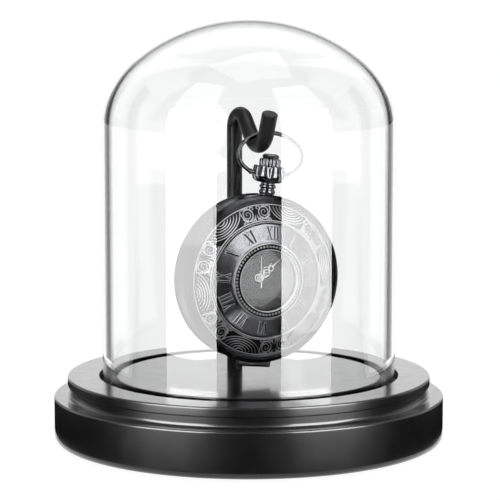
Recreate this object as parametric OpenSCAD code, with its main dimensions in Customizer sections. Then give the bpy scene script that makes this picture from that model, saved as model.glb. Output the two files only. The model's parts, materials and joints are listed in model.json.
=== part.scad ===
// Glass bell jar on a two-tier turned base, with a bent hook stand that shows a hanging pocket watch.
// Millimetres, +Z up, origin at the centre of the base's underside. The watch faces -Y.
// Watch pieces are drawn in the watch's own frame: X to the right, Y towards 12 o'clock,
// Z out of the dial, origin at the centre of the case. on_watch() hangs them on the hook.

/* [Base] */
// Radius of the lower tier
plinth_r = 55; // [54:0.5:60]
// Height of the lower tier's top
plinth_top = 13.3; // [12.5:0.1:15]
// Radius of the upper tier
seat_r = 51.2; // [49:0.1:52]
// Height of the upper tier's top
seat_top = 18.8; // [18:0.1:21]
// Inner radius of the groove that the glass drops into
groove_r_in = 37.3; // [36.5:0.1:37.5]
// Outer radius of that groove
groove_r_out = 42.3; // [42:0.1:43]
// Depth of that groove
groove_depth = 3.4; // [2.5:0.1:4]

/* [Glass] */
// Outer radius of the glass
glass_r = 41.3; // [41:0.1:41.5]
// Thickness of the glass
glass_t = 2.1; // [1.8:0.1:2.4]
// Height where the straight wall ends and the rounded top begins
glass_spring_z = 88.5; // [86:0.5:95]
// Rise of the rounded top
glass_rise = 31.4; // [30:0.1:34]
// Radius of the shoulder, where the wall turns into the crown
shoulder_r = 26; // [22:0.5:28]

/* [Hook stand] */
// Radius of the rod
rod_r = 2.2; // [2:0.1:2.3]
// Distance of the upright behind the centre
rod_y = 9.7; // [9.5:0.1:12]
// Centreline radius of the bend at the top
crook_r = 4.2; // [4:0.1:4.6]
// Height of that bend's centre
crook_z = 87.8; // [86:0.1:89]
// Centreline radius of the throat that the bow hangs in
throat_r = 5.6; // [5.4:0.1:6]
// Distance of the throat in front of the centre
throat_front = 6.3; // [6:0.1:7]
// Height of the throat's centre
throat_z = 89.5; // [88:0.1:90.5]
// Lean of the tip from upright, in degrees
tip_lean = 24; // [15:1:30]
// Length of the straight tip
tip_len = 6.1; // [4:0.1:7]

/* [Watch] */
// Radius of the front cover
cover_r = 23.5; // [23.4:0.05:23.6]
// Radius of the case band
case_r = 23; // [22.9:0.05:23.05]
// Lean of the hanging watch, in degrees
watch_roll = 6.5; // [4:0.5:8]
// Sideways distance from the watch's axis to the point of the bow that rests in the hook
hang_x = 4.2; // [3.9:0.1:4.4]
// Angle of the hour hand, in degrees from 12
hour_angle = 33.5; // [0:0.5:359.5]
// Angle of the minute hand, in degrees from 12
minute_angle = 42; // [0:0.5:359.5]
// Angle of the seconds hand, in degrees from 12
second_angle = 355; // [0:0.5:359.5]

/* [Hidden] */
$fn = 96;
skin = 0.02; // gap between pieces that rest on each other
past = 1;    // how far a cut runs past the surface it opens
weld = 0.02; // how far the seam between two bends of a wire stands proud
seam_t = 0.12; // thickness of that seam

// Base
pad_t = 1.2;
pad_r = 48;
pad_edge_round = 0.3;
plinth_low = 0.5;
plinth_low_round = 2;
tier_edge_round = 0.5;
seat_under_round = 0.4;
seat_waist_r = seat_r - 0.45;
seat_cove_r = 1;
groove_edge_round = 0.3;
liner_t = 0.8;
liner_gap = 0.1;
groove_floor = seat_top - groove_depth;
thread_r = 2;
thread_hole_r = 2.15;
thread_low = 3.2;
nut_h = 3.2;
nut_across_corners_r = 4.04;
washer_t = 0.8;
washer_r = 4.5;
pocket_r = 5.5;
pocket_top = 8;
screw_circle_r = 30;
screw_angles = [30, 150, 270];
screw_shank_r = 1.6;
screw_head_r = 3;
screw_head_h = 1.6;
screw_play = 0.1;
screw_tip_z = 17;
screw_tip_h = 2;
screw_tip_r = 0.3;
slot_length = 3.6;
slot_width = 0.7;
slot_depth = 0.9;

// Glass
glass_low = groove_floor + liner_t + skin;
crown_r = (pow(glass_r - shoulder_r, 2) + pow(glass_rise, 2) - pow(shoulder_r, 2))
    / (2 * (glass_rise - shoulder_r));
shoulder_centre = [glass_r - shoulder_r, glass_spring_z];
crown_centre = [0, glass_spring_z + glass_rise - crown_r];
crown_angle = atan2(crown_r - glass_rise, glass_r - shoulder_r);
lip_round = 0.9;

// Hook stand, in the plane of its bends: first number along Y, second along Z
crook_centre = [rod_y - crook_r, crook_z];
throat_centre = [-throat_front, throat_z];
bend_span = throat_centre - crook_centre;
crook_turn = atan2(bend_span[1], bend_span[0]) - acos((crook_r + throat_r) / norm(bend_span));
crook_end = crook_centre + crook_r * [cos(crook_turn), sin(crook_turn)];
throat_start = throat_centre - throat_r * [cos(crook_turn), sin(crook_turn)];
throat_end_angle = -180 + tip_lean;
tip_start = throat_centre + throat_r * [cos(throat_end_angle), sin(throat_end_angle)];
tip_end = tip_start + tip_len * [-sin(tip_lean), cos(tip_lean)];
tip_chamfer = 0.25;

// Bow: an oval of two flat arcs and two end arcs, tangent to each other
bow_wire_r = 0.6;
bow_y = 34.4;
bow_flat_r = 13.4;
bow_flat_off = 7.2;
bow_end_r = 4.4;
bow_end_centre = [5.4, 0];
bow_join_angle = atan2(bow_flat_off, bow_end_centre[0]);
ear_x = 5.7;
ear_angle = acos(ear_x / bow_flat_r);
ear_y = bow_y + bow_flat_off - bow_flat_r * sin(ear_angle);
ear_r = 0.55;
ear_tip_x = 3.4;
ear_drop = ear_y - bow_y;
ear_shoulder_r = 0.8;
ear_shoulder_t = 0.56;
bow_rest_r = bow_flat_r - bow_wire_r - rod_r - 0.05;
hang_y = bow_y - bow_flat_off + sqrt(pow(bow_rest_r, 2) - pow(hang_x, 2));

// Watch, heights out of the dial
band_back = -4.2;
band_front = 2.4;
band_bore_r = 19.5;
hinge_web_y = -22.3;
hinge_web_drop = 0.1;
cover_web_reach = 1.5;
band_edge_round = 0.4;
glass_seat_r = 20.4;
glass_seat_z = 2.1;
dial_glass_r = 20.35;
dial_glass_t = 0.7;
dial_glass_round = 0.25;
back_r = 23.4;
back_dome_r = 150;
back_low = -6.6;
back_t = 0.8;
back_edge_round = 0.25;
back_lip_r = 18.9;
back_lip_t = 0.5;
stem_r = 0.4;
stem_bore_r = 0.47;
stem_inner_y = 10;
stem_outer_y = 32;
pendant_foot_y = 23;
spigot_r = 1.58;
spigot_bore_r = 1.6;
spigot_inner_y = 20.6;
neck_r = 1.9;
neck_foot_r = 2.5;
neck_foot_h = 0.4;
neck_beads_y = [24.2, 25.7];
neck_bead_r = 0.72;
cup_bulge = [2.7, 28.9]; // from the axis, and towards 12
cup_bulge_r = 2.2;
cup_rim_r = 4.6;
cup_rim_y = 31.5;
cup_bore_r = 3.35;
cup_rim_round = 0.5;
movement_r = 15;
movement_back = -3;
arbor_low = -1.4;
dial_back = 0.55;
dial_front = 0.85;
spacer_back = -2.8;
spacer_r = 19.35;
cell_r = 4.75;
cell_centre = [-6, -5.5];
cell_front = -1.4;
hinge_y = -23.9;
hinge_z = 2.45;
knuckle_r = 0.75;
knuckle_half = 2.3;
knuckle_end = 5;
knuckle_gap = 0.15;
hinge_pin_r = 0.35;
hinge_bore_r = 0.4;
window_r = 8.5;
crystal_r = 8.9;
crystal_back = 5.75;
crystal_front = 6.35;
bezel_r = 10.5;
bezel_front = 7.2;
bezel_edge_round = 0.25;
bead_groove_r = 0.55; // half the width of the channel that the beads stand in
bead_circle_r = 9.5;
crown_r_out = 3;
crown_low = 30.4;
crown_high = 34.9;
crown_foot_r = 2.2;
crown_bevel_y = 31.7;
crown_shoulder_y = 33.4;
crown_cap_r = 2.7;
crown_cap_round = 1;
crown_flutes = 20;
flute_r = 0.22;
hand_t = 0.2;
hour_blade_z = 1.1;
hour_pipe_low = -0.6;
minute_blade_z = 1.45;
minute_pipe_low = -0.9;
second_blade_z = 1.8;
second_t = 0.15;
second_pin_low = -1.2;
hour_pipe_r = 0.7;
hour_bore_r = 0.47;
minute_pipe_r = 0.4;
minute_bore_r = 0.22;
second_pin_r = 0.15;
centre_bore_r = 0.77;
hour_length = 5.4;
minute_length = 7.9;
second_length = 6.3;

// ---- shared shapes ----

// The waste outside a rounded corner at the origin, for a body below it and to its left
module corner_waste(s) {
    difference() {
        translate([-s, -s]) square([s + past, s + past]);
        translate([-s, -s]) circle(r = s);
    }
}

// Stands a turned watch piece up, so that its axis points to 12 o'clock
module towards_twelve() {
    rotate([-90, 0, 0]) children();
}

// Puts a watch piece where it hangs on the hook
module on_watch() {
    translate([0, -throat_front, throat_z - throat_r])
        rotate([0, watch_roll, 0])
        rotate([90, 0, 0])
        translate([hang_x, -hang_y, 0])
        children();
}

// The plane of the hook stand's bends
module in_hook_plane() {
    rotate([90, 0, 90]) children();
}

// A round wire bent about the origin, from one angle to another
module bent_wire(bend_r, wire_r, from, to) {
    rotate([0, 0, from])
        rotate_extrude(angle = to - from)
        translate([bend_r, 0]) circle(r = wire_r);
}

// A straight round wire from p to q
module straight_wire(p, q, wire_r) {
    run = q - p;
    translate([p[0], p[1], 0])
        rotate([0, 0, atan2(run[1], run[0])])
        rotate([0, 90, 0])
        cylinder(r = wire_r, h = norm(run));
}

// The seam where two bends of a wire meet: at p, across the wire, whose direction there is given
module wire_seam(p, direction, wire_r) {
    translate([p[0], p[1], 0])
        rotate([0, 0, direction])
        rotate([0, 90, 0])
        cylinder(r = wire_r + weld, h = seam_t, center = true);
}

// ---- base ----

module base_plinth() {
    color("#161617") difference() {
        rotate_extrude() difference() {
            translate([0, plinth_low]) square([plinth_r, plinth_top - plinth_low]);
            translate([plinth_r, plinth_top]) corner_waste(tier_edge_round);
            translate([plinth_r, plinth_low]) mirror([0, 1]) corner_waste(plinth_low_round);
        }
        translate([0, 0, -past]) cylinder(r = pad_r + skin, h = pad_t + past);
        translate([0, rod_y, -past]) cylinder(r = pocket_r, h = pocket_top + past);
        translate([0, rod_y, 0]) cylinder(r = thread_hole_r, h = plinth_top + past);
        at_screws() {
            cylinder(r = screw_shank_r + screw_play, h = plinth_top + past);
            translate([0, 0, pad_t - skin])
                cylinder(r1 = screw_head_r + screw_play, r2 = screw_shank_r + screw_play,
                    h = screw_head_h + skin);
        }
    }
}

module at_screws() {
    for (a = screw_angles) rotate([0, 0, a]) translate([screw_circle_r, 0, 0]) children();
}

module base_seat() {
    height = seat_top - plinth_top;
    color("#161617") difference() {
        rotate_extrude() difference() {
            union() {
                translate([0, plinth_top]) square([seat_waist_r, height]);
                translate([0, seat_top - height / 2]) square([seat_r, height / 2]);
                difference() {
                    translate([0, plinth_top]) square([seat_waist_r + seat_cove_r, seat_cove_r]);
                    translate([seat_waist_r + seat_cove_r, plinth_top + seat_cove_r])
                        circle(r = seat_cove_r);
                }
            }
            translate([seat_r, seat_top]) corner_waste(tier_edge_round);
            translate([seat_r, seat_top - height / 2]) mirror([0, 1]) corner_waste(seat_under_round);
            translate([groove_r_in, groove_floor])
                square([groove_r_out - groove_r_in, groove_depth + past]);
            translate([groove_r_in, seat_top]) corner_waste(groove_edge_round);
            translate([groove_r_out, seat_top]) mirror([1, 0]) corner_waste(groove_edge_round);
        }
        translate([0, rod_y, 0]) cylinder(r = thread_hole_r, h = seat_top + past);
        at_screws() cylinder(r = screw_shank_r + skin, h = screw_tip_z + screw_tip_r);
    }
}

// Felt ring that the glass stands on
module groove_liner() {
    color("#0c0c0c") rotate_extrude()
        translate([groove_r_in + liner_gap, groove_floor])
        square([groove_r_out - groove_r_in - 2 * liner_gap, liner_t]);
}

module felt_pad() {
    color("#1c1c1c") rotate_extrude() difference() {
        square([pad_r, pad_t]);
        translate([pad_r, 0]) mirror([0, 1]) corner_waste(pad_edge_round);
    }
}

// Countersunk wood screws that hold the two tiers together
module base_screws() {
    color("#8a8a8c") at_screws() difference() {
        union() {
            translate([0, 0, pad_t])
                cylinder(r1 = screw_head_r, r2 = screw_shank_r, h = screw_head_h);
            translate([0, 0, pad_t])
                cylinder(r = screw_shank_r, h = screw_tip_z - screw_tip_h - pad_t);
            translate([0, 0, screw_tip_z - screw_tip_h])
                cylinder(r1 = screw_shank_r, r2 = screw_tip_r, h = screw_tip_h);
        }
        for (a = [0, 90]) rotate([0, 0, a])
            translate([-slot_length / 2, -slot_width / 2, 0])
            cube([slot_length, slot_width, pad_t + slot_depth]);
    }
}

// ---- hook stand ----

module hook_stand() {
    color("#1b1b1c") union() {
        translate([0, rod_y, seat_top]) cylinder(r = rod_r, h = crook_z - seat_top);
        translate([0, rod_y, thread_low]) cylinder(r = thread_r, h = seat_top - thread_low);
        in_hook_plane() {
            translate(crook_centre) bent_wire(crook_r, rod_r, 0, crook_turn);
            straight_wire(crook_end, throat_start, rod_r);
            translate(throat_centre)
                bent_wire(throat_r, rod_r, throat_end_angle, crook_turn - 180);
            straight_wire(tip_start, tip_end, rod_r);
            wire_seam(crook_centre + [crook_r, 0], 90, rod_r);
            wire_seam(crook_end, crook_turn + 90, rod_r);
            wire_seam(throat_start, crook_turn + 90, rod_r);
            wire_seam(tip_start, tip_lean + 90, rod_r);
            translate(tip_end) rotate([0, 0, tip_lean]) rotate([-90, 0, 0])
                cylinder(r1 = rod_r, r2 = rod_r - tip_chamfer, h = tip_chamfer);
        }
    }
}

module hook_washer() {
    color("#a9a9ac") translate([0, rod_y, pocket_top - washer_t]) difference() {
        cylinder(r = washer_r, h = washer_t);
        translate([0, 0, -past]) cylinder(r = thread_hole_r, h = washer_t + 2 * past);
    }
}

module hook_nut() {
    color("#a9a9ac") translate([0, rod_y, pocket_top - washer_t - nut_h]) difference() {
        cylinder(r = nut_across_corners_r, h = nut_h, $fn = 6);
        translate([0, 0, -past]) cylinder(r = thread_r + skin, h = nut_h + 2 * past);
    }
}

// ---- glass ----

// Half outline of the jar, drawn in by the given thickness: wall, shoulder arc and crown arc
module jar_outline(inset, low) {
    reach = 3 * crown_r;
    wedge_edge = crown_centre + reach * [cos(crown_angle), sin(crown_angle)];
    translate([0, low]) square([glass_r - inset, glass_spring_z - low]);
    intersection() {
        translate(crown_centre) circle(r = crown_r - inset);
        polygon([crown_centre, wedge_edge, [0, crown_centre[1] + reach]]);
        translate([0, glass_spring_z]) square(reach);
    }
    intersection() {
        translate(shoulder_centre) circle(r = shoulder_r - inset);
        polygon([shoulder_centre, [reach, glass_spring_z], wedge_edge]);
    }
}

module glass_dome() {
    color("#dfe8ea", 0.3) rotate_extrude() difference() {
        jar_outline(0, glass_low);
        jar_outline(glass_t, glass_low - past);
        translate([glass_r, glass_low]) mirror([0, 1]) corner_waste(lip_round);
        translate([glass_r - glass_t, glass_low]) mirror([1, 0]) mirror([0, 1])
            corner_waste(lip_round);
    }
}

// ---- bow and pendant ----

module bow() {
    color("#4c4c50") on_watch() translate([0, bow_y, 0]) {
        translate([0, -bow_flat_off, 0])
            bent_wire(bow_flat_r, bow_wire_r, bow_join_angle, 180 - bow_join_angle);
        for (side = [0, 1]) mirror([side, 0, 0]) {
            for (turn = [-bow_join_angle, bow_join_angle])
                wire_seam(bow_end_centre + bow_end_r * [cos(turn), sin(turn)], turn + 90, bow_wire_r);
            translate(bow_end_centre)
                bent_wire(bow_end_r, bow_wire_r, -bow_join_angle, bow_join_angle);
            translate([0, bow_flat_off, 0])
                bent_wire(bow_flat_r, bow_wire_r, -ear_angle, -bow_join_angle);
            straight_wire([ear_x - ear_shoulder_t / 2, ear_drop], [ear_x + ear_shoulder_t / 2, ear_drop],
                ear_shoulder_r);
            straight_wire([ear_tip_x, ear_drop], [ear_x, ear_drop], ear_r);
        }
    }
}

// Neck with its beads, and the cup that carries the bow and shields the crown
module pendant() {
    color("#3c3c40") on_watch() difference() {
        towards_twelve() rotate_extrude() difference() {
            union() {
                translate([0, spigot_inner_y]) square([spigot_r, pendant_foot_y - spigot_inner_y]);
                translate([0, pendant_foot_y]) square([neck_r, cup_bulge[1] - pendant_foot_y]);
                translate([0, pendant_foot_y]) square([neck_foot_r, neck_foot_h]);
                for (y = neck_beads_y) translate([neck_r - 0.3, y]) circle(r = neck_bead_r);
                translate(cup_bulge) circle(r = cup_bulge_r);
                translate([0, cup_bulge[1] - cup_bulge_r]) square([cup_bulge[0], 2 * cup_bulge_r]);
                translate(cup_bulge) square([cup_rim_r - cup_bulge[0], cup_rim_y - cup_bulge[1]]);
            }
            translate([cup_rim_r, cup_rim_y]) corner_waste(cup_rim_round);
            translate([0, crown_low - 0.35]) square([cup_bore_r, cup_rim_y - crown_low + past]);
            square([stem_bore_r, stem_outer_y]);
        }
        for (side = [0, 1]) mirror([side, 0, 0])
            straight_wire([ear_tip_x - 0.2, ear_y], [ear_x, ear_y], ear_r + 0.07);
    }
}

// Fluted crown with a smooth cap
module crown() {
    mid_r = crown_r_out - 0.15;
    color("#55555a") on_watch() towards_twelve() difference() {
        rotate_extrude() union() {
            polygon([
                [0, crown_low], [crown_foot_r, crown_low], [mid_r, crown_bevel_y],
                [mid_r, crown_shoulder_y - 0.1], [0, crown_shoulder_y - 0.1]
            ]);
            translate([0, crown_bevel_y + 0.2])
                square([crown_r_out, crown_shoulder_y - crown_bevel_y - 0.2]);
            difference() {
                translate([0, crown_shoulder_y]) square([crown_cap_r, crown_high - crown_shoulder_y]);
                translate([crown_cap_r, crown_high]) corner_waste(crown_cap_round);
            }
        }
        for (i = [0 : crown_flutes - 1]) rotate([0, 0, 360 * i / crown_flutes])
            translate([crown_r_out, 0, crown_bevel_y - 0.3])
            cylinder(r = flute_r, h = crown_shoulder_y - crown_bevel_y + 0.7);
        translate([0, 0, crown_low - past]) cylinder(r = stem_r + skin, h = stem_outer_y - crown_low + past);
    }
}

module winding_stem() {
    color("#9a9a9e") on_watch()
        straight_wire([0, stem_inner_y], [0, stem_outer_y - skin], stem_r);
}

// ---- case ----

module case_middle() {
    color("#3a3a3e") on_watch() {
        difference() {
            rotate_extrude() difference() {
                translate([band_bore_r, band_back])
                    square([case_r - band_bore_r, band_front - band_back]);
                translate([0, glass_seat_z]) square([glass_seat_r, past]);
                translate([case_r, band_front]) corner_waste(band_edge_round);
                translate([case_r, band_back]) mirror([0, 1]) corner_waste(band_edge_round);
            }
            straight_wire([0, band_bore_r - past], [0, case_r + past], spigot_bore_r);
            hinge_line(-knuckle_half, knuckle_half, hinge_bore_r);
        }
        difference() {
            union() {
                hinge_line(-knuckle_half, knuckle_half, knuckle_r);
                translate([-knuckle_half, hinge_y, hinge_z - knuckle_r])
                    cube([2 * knuckle_half, hinge_web_y - hinge_y, knuckle_r - hinge_web_drop]);
            }
            hinge_line(-knuckle_half - past, knuckle_half + past, hinge_bore_r);
            cylinder(r = band_bore_r + 0.5, h = 2 * band_front, center = true);
        }
    }
}

// A rod along the cover's hinge line
module hinge_line(x_from, x_to, r) {
    translate([x_from, hinge_y, hinge_z]) rotate([0, 90, 0]) cylinder(r = r, h = x_to - x_from);
}

module hinge_pin() {
    color("#8f8f93") on_watch() hinge_line(-knuckle_end, knuckle_end, hinge_pin_r);
}

module case_back() {
    color("#3a3a3e") on_watch() rotate_extrude() {
        difference() {
            back_outline(0);
            back_outline(back_t);
            translate([back_r, band_back]) corner_waste(back_edge_round);
        }
        translate([back_lip_r, band_back - back_lip_t]) square([back_lip_t, 3 * back_lip_t]);
    }
}

// Shallow domed disc behind the band, drawn in by the given thickness
module back_outline(inset) {
    intersection() {
        translate([0, back_low + back_dome_r]) circle(r = back_dome_r - inset, $fn = 360);
        translate([0, back_low]) square([back_r - 2.2 * inset, band_back - back_low]);
    }
}

module dial_crystal() {
    color("#dfe8ea", 0.3) on_watch() rotate_extrude() difference() {
        translate([0, glass_seat_z]) square([dial_glass_r, dial_glass_t]);
        translate([dial_glass_r, glass_seat_z + dial_glass_t]) corner_waste(dial_glass_round);
    }
}

module dial() {
    color("#47474b") on_watch() translate([0, 0, dial_back]) difference() {
        cylinder(r = spacer_r, h = dial_front - dial_back);
        translate([0, 0, -past]) cylinder(r = hour_pipe_r + 0.15, h = 3 * past);
    }
}

module movement() {
    color("#b9b3a0") on_watch() difference() {
        translate([0, 0, movement_back]) cylinder(r = movement_r, h = dial_back - movement_back);
        translate([0, 0, arbor_low]) cylinder(r = centre_bore_r, h = dial_back - arbor_low + past);
        translate([cell_centre[0], cell_centre[1], movement_back - past])
            cylinder(r = cell_r + 0.1, h = cell_front - movement_back + past);
        straight_wire([0, stem_inner_y - 0.5], [0, movement_r + past], stem_bore_r);
    }
}

module battery() {
    color("#c8c8cc") on_watch() translate([cell_centre[0], cell_centre[1], movement_back]) {
        cylinder(r = cell_r, h = cell_front - movement_back);
    }
}

module movement_spacer() {
    color("#e4e2da") on_watch() difference() {
        translate([0, 0, spacer_back]) cylinder(r = spacer_r, h = dial_back - spacer_back);
        translate([0, 0, spacer_back - past])
            cylinder(r = movement_r + 0.05, h = dial_back - spacer_back + 2 * past);
        straight_wire([0, movement_r - past], [0, spacer_r + past], stem_bore_r);
    }
}

// ---- front cover ----

module front_cover() {
    color("#2f2f33") on_watch() {
        difference() {
            rotate_extrude() polygon([
                // Rim, with its two bands
                [21.3, 2.5], [cover_r, 2.5], [cover_r, 3], [cover_r - 0.2, 3.4], [cover_r - 0.6, 3.6],
                [22.3, 3.7], [22.15, 3.5], [21.95, 3.55], [21.8, 3.85], [21.3, 3.95], [21.1, 3.75],
                // Engraved slope and the ring inside it
                [16.3, 5.35], [16.3, 5.6], [15.8, 5.75], [15.75, 5],
                // Seat of the numeral ring, then of the window's glass
                [10.55, 6.35], [crystal_r + 0.05, 6.35], [crystal_r + 0.05, crystal_back],
                [window_r - 0.1, crystal_back], [window_r - 0.1, 5.35],
                // Underside
                [15.6, 4.1], [20.9, 2.95]
            ]);
            hinge_line(-knuckle_half - knuckle_gap, knuckle_half + knuckle_gap, knuckle_r + knuckle_gap);
            hinge_line(-knuckle_end - past, knuckle_end + past, hinge_bore_r);
        }
        for (side = [0, 1]) mirror([side, 0, 0]) difference() {
            union() {
                hinge_line(knuckle_half + knuckle_gap, knuckle_end, knuckle_r);
                translate([knuckle_half + knuckle_gap, hinge_y, hinge_z + hinge_web_drop])
                    cube([knuckle_end - knuckle_half - knuckle_gap, cover_web_reach,
                        knuckle_r - hinge_web_drop]);
            }
            hinge_line(knuckle_half, knuckle_end + past, hinge_bore_r);
        }
    }
}

module numeral_ring() {
    color("#2a2a2e") on_watch() rotate_extrude()
        polygon([[15.7, 5.05], [15.7, 5.5], [10.6, 6.83], [10.6, 6.38]]);
}

module bead_bezel() {
    color("#5c5c60") on_watch() rotate_extrude() difference() {
        translate([window_r, crystal_front + skin])
            square([bezel_r - window_r, bezel_front - crystal_front - skin]);
        translate([bead_circle_r, bezel_front]) circle(r = bead_groove_r);
        translate([bezel_r, bezel_front]) corner_waste(bezel_edge_round);
        translate([window_r, bezel_front]) mirror([1, 0]) corner_waste(bezel_edge_round);
    }
}

module cover_crystal() {
    color("#dfe8ea", 0.3) on_watch() translate([0, 0, crystal_back])
        cylinder(r = crystal_r, h = crystal_front - crystal_back);
}

// ---- hands ----

// Turns a hand to its angle, clockwise from 12
module at_hour_angle(angle) {
    rotate([0, 0, -angle]) children();
}

// Flat blade of a hand: outline, thickness and height
module blade(z, t) {
    translate([0, 0, z]) linear_extrude(t) children();
}

module ring_outline(r, w) {
    difference() {
        circle(r = r + w / 2);
        circle(r = r - w / 2);
    }
}

module hour_hand() {
    color("#d6d6da") on_watch() at_hour_angle(hour_angle) difference() {
        union() {
            blade(hour_blade_z, hand_t) {
                circle(r = 1);
                translate([-0.14, 0]) square([0.28, 3.4]);
                for (side = [-1, 1]) translate([side * 0.55, 2]) ring_outline(0.5, 0.22);
                translate([0, 3.1]) ring_outline(0.6, 0.24);
                polygon([[-0.45, 3.6], [0, hour_length], [0.45, 3.6]]);
            }
            translate([0, 0, hour_pipe_low])
                cylinder(r = hour_pipe_r, h = hour_blade_z + hand_t / 2 - hour_pipe_low);
        }
        translate([0, 0, hour_pipe_low - past])
            cylinder(r = hour_bore_r, h = hour_blade_z + hand_t - hour_pipe_low + 2 * past);
    }
}

module minute_hand() {
    color("#d6d6da") on_watch() at_hour_angle(minute_angle) difference() {
        union() {
            blade(minute_blade_z, hand_t) {
                circle(r = 0.75);
                translate([-0.13, 0]) square([0.26, 6.4]);
                for (side = [-1, 1]) translate([side * 0.48, 2.6]) ring_outline(0.44, 0.2);
                translate([0, 4.2]) ring_outline(0.5, 0.22);
                polygon([[-0.3, 4.7], [0, minute_length], [0.3, 4.7]]);
            }
            translate([0, 0, minute_pipe_low])
                cylinder(r = minute_pipe_r, h = minute_blade_z + hand_t / 2 - minute_pipe_low);
        }
        translate([0, 0, minute_pipe_low - past])
            cylinder(r = minute_bore_r, h = minute_blade_z + hand_t - minute_pipe_low + 2 * past);
    }
}

module second_hand() {
    color("#e2e2e6") on_watch() at_hour_angle(second_angle) {
        blade(second_blade_z, second_t) {
            circle(r = 0.45);
            polygon([[-0.13, -2.6], [0.13, -2.6], [0.07, second_length], [-0.07, second_length]]);
            translate([0, -2.2]) circle(r = 0.3);
        }
        translate([0, 0, second_pin_low])
            cylinder(r = second_pin_r, h = second_blade_z + second_t / 2 - second_pin_low);
    }
}

base_plinth();
base_seat();
groove_liner();
felt_pad();
base_screws();
hook_stand();
hook_washer();
hook_nut();
glass_dome();
bow();
case_middle();
case_back();
pendant();
hinge_pin();
dial_crystal();
dial();
movement();
movement_spacer();
battery();
front_cover();
numeral_ring();
bead_bezel();
cover_crystal();
crown();
winding_stem();
hour_hand();
minute_hand();
second_hand();
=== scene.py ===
"""Looks of the glass bell jar with its hook stand and pocket watch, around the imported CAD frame.

Lengths in this script are millimetres until a piece's mesh is made, which turns them into metres.
Watch pieces are drawn in the watch's own frame: X right, Y towards 12 o'clock, Z out of the dial.
"""
import json
import math
import random

import bpy
import numpy as np
from mathutils import Matrix, Vector


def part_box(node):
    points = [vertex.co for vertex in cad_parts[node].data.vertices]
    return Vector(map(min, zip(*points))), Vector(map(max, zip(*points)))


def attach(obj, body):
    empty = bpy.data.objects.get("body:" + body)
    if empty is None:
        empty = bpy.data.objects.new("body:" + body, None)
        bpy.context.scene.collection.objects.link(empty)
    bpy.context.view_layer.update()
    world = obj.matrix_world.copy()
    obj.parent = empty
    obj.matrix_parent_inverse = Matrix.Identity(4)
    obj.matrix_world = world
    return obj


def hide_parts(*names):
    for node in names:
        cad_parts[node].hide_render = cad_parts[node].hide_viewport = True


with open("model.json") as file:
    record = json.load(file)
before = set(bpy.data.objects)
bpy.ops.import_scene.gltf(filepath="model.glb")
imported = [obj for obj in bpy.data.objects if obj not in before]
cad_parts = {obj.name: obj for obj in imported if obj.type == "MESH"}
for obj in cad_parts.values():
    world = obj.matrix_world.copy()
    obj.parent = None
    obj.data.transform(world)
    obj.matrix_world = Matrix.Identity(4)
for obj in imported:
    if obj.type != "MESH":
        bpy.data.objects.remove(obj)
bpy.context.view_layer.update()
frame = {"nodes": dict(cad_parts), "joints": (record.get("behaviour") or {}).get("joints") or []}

MM = 0.001
JOINTS = {j["name"]: j for j in frame["joints"]}


# ---- places and sizes, from the frame ----

def box_mm(node):
    """Lowest and highest corner of a CAD node, in millimetres."""
    low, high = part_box(node)
    return np.array(low) / MM, np.array(high) / MM


def radius_of(node):
    """Radius of a CAD node that is turned about the row's Z or the watch's axis."""
    low, high = box_mm(node)
    return (high[0] - low[0]) / 2


def watch_matrix():
    """The watch's frame: its origin is the dial's centre, where the hands turn."""
    centre = Vector(JOINTS["second_turn"]["pos_m"])
    up = Vector(JOINTS["crown_turn"]["axis"])
    front = -Vector(JOINTS["second_turn"]["axis"])
    right = up.cross(front)
    turn = Matrix((right, up, front)).transposed().to_4x4()
    return Matrix.Translation(centre) @ turn


WATCH = watch_matrix()
ROW = Matrix.Identity(4)
PLINTH_R = radius_of("base_plinth")
PLINTH_LOW, PLINTH_TOP = box_mm("base_plinth")[0][2], box_mm("base_plinth")[1][2]
SEAT_COVE, SEAT_WAIST_IN = 1.0, 0.45
SEAT_R = radius_of("base_seat") - SEAT_COVE + SEAT_WAIST_IN
SEAT_TOP = box_mm("base_seat")[1][2]
GROOVE_FLOOR = box_mm("groove_liner")[0][2]
LINER_PLAY = 0.1
GROOVE_W = 5
GROOVE_OUT = radius_of("groove_liner") + LINER_PLAY
GROOVE_IN = GROOVE_OUT - GROOVE_W
PAD_R = radius_of("felt_pad")
PAD_T = box_mm("felt_pad")[1][2]
GLASS_R = radius_of("glass_dome")
GLASS_LOW, GLASS_TOP = box_mm("glass_dome")[0][2], box_mm("glass_dome")[1][2]
ROD_SEAM = 0.02
ROD_R = (box_mm("hook_stand")[1][0] - box_mm("hook_stand")[0][0]) / 2 - ROD_SEAM
COVER_R = radius_of("front_cover")


# ---- mesh tools ----

def new_object(name, points, faces):
    """An object in the scene, from points in metres."""
    mesh = bpy.data.meshes.new(name)
    mesh.from_pydata(points, [], faces)
    made = bpy.data.objects.new(name, mesh)
    bpy.context.scene.collection.objects.link(made)
    return made


def make_mesh(name, points, faces, matrix=ROW, sharp=32):
    """A smooth-shaded piece from points in millimetres, with edges sharper than the angle kept crisp."""
    piece = new_object(name, [tuple(float(c) * MM for c in p) for p in points], faces)
    mesh = piece.data
    mesh.transform(matrix)
    mesh.validate()
    mesh.polygons.foreach_set("use_smooth", [True] * len(mesh.polygons))
    mesh.set_sharp_from_angle(angle=math.radians(sharp))
    return piece


def finish_piece(piece, body, material, replaced=()):
    """Gives a piece its material, its body and the CAD nodes that it stands for."""
    piece.data.materials.append(material)
    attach(piece, body)
    if replaced:
        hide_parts(*replaced)
    return piece


def arc(cx, cy, r, start, end, steps=8):
    """Points on an arc, angles in degrees."""
    angles = np.radians(np.linspace(start, end, steps + 1))
    return [(cx + r * math.cos(a), cy + r * math.sin(a)) for a in angles]


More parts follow.
